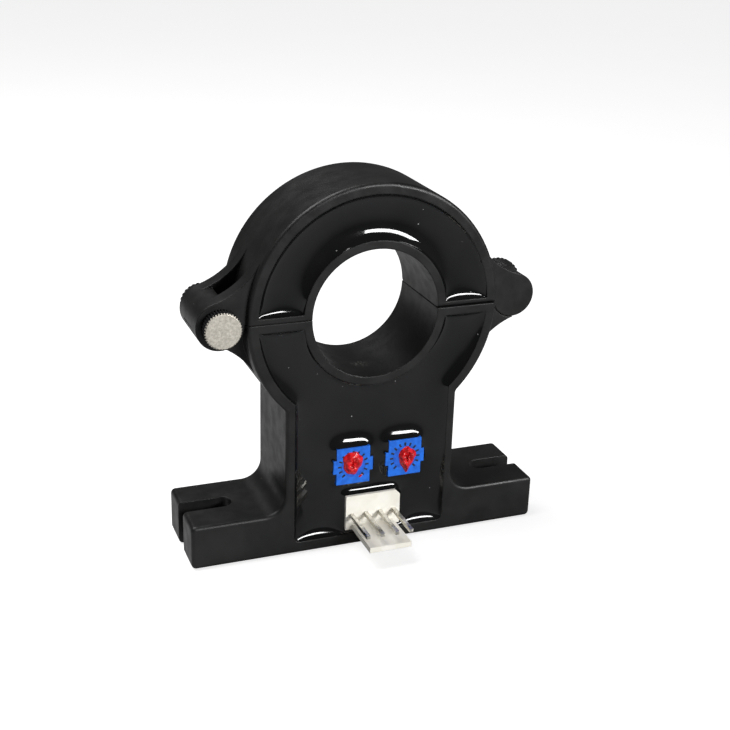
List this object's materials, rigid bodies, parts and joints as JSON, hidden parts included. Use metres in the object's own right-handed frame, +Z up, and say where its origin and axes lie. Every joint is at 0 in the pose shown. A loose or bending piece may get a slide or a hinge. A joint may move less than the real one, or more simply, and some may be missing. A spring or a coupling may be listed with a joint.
{
  "type": "split-core current transformer",
  "caption": "Split-core current sensor: a footed housing and a hinged half ring that close round a cable, with a thumb screw, two trimmers and a pin header.",
  "frame": {"origin": "centre of the underside of the base, midway between its ends and its front and back faces", "axes": "+X along the base to the hinge end, +Y from the front, potted face to the back, +Z up"},
  "size_m": [0.062, 0.0244, 0.0629],
  "materials": {
    "housing_black": "satin",
    "potting_resin": "gloss",
    "core_iron": "satin",
    "chip_plastic": "matt",
    "board_laminate": "satin",
    "capacitor_ceramic": "satin",
    "trimmer_blue": "satin",
    "dial_white": "satin",
    "lacquer_red": "gloss",
    "header_nylon": "satin",
    "pin_tin": "satin",
    "knob_black": "gloss",
    "screw_nickel": "satin"
  },
  "bodies": {
    "base": {"lower_housing": "housing_black", "lower_potting": "potting_resin", "lower_core_left": "core_iron", "lower_core_right": "core_iron", "hall_element": "chip_plastic", "circuit_board": "board_laminate", "amplifier_chip": "chip_plastic", "filter_capacitor_1": "capacitor_ceramic", "filter_capacitor_2": "capacitor_ceramic", "trimmer_left_case": "trimmer_blue", "trimmer_left_dial": "dial_white", "trimmer_left_lacquer": "lacquer_red", "trimmer_right_case": "trimmer_blue", "trimmer_right_dial": "dial_white", "trimmer_right_lacquer": "lacquer_red", "header_body": "header_nylon", "header_pin_1": "pin_tin", "header_pin_2": "pin_tin", "header_pin_3": "pin_tin", "header_pin_4": "pin_tin", "hinge_pin": "knob_black"},
    "lid": {"upper_shell": "housing_black", "upper_potting": "potting_resin", "upper_core": "core_iron"},
    "thumb_screw": {"clamp_screw": "screw_nickel"},
    "thumb_nut": {"clamp_nut": "knob_black"}
  },
  "joints": [
    {"name": "lid_hinge", "type": "hinge", "parent": "base", "child": "lid", "pos_m": [0.0259, 0, 0.0415], "axis": [0, 1, 0], "range_deg": [0, 170]},
    {"name": "clamp_screw_turn", "type": "hinge", "parent": "lid", "child": "thumb_screw", "pos_m": [-0.0255, 0, 0.0415], "axis": [0, 1, 0], "continuous": true},
    {"name": "clamp_nut_turn", "type": "hinge", "parent": "lid", "child": "thumb_nut", "pos_m": [-0.0255, 0, 0.0415], "axis": [0, 1, 0], "continuous": true}
  ]
}
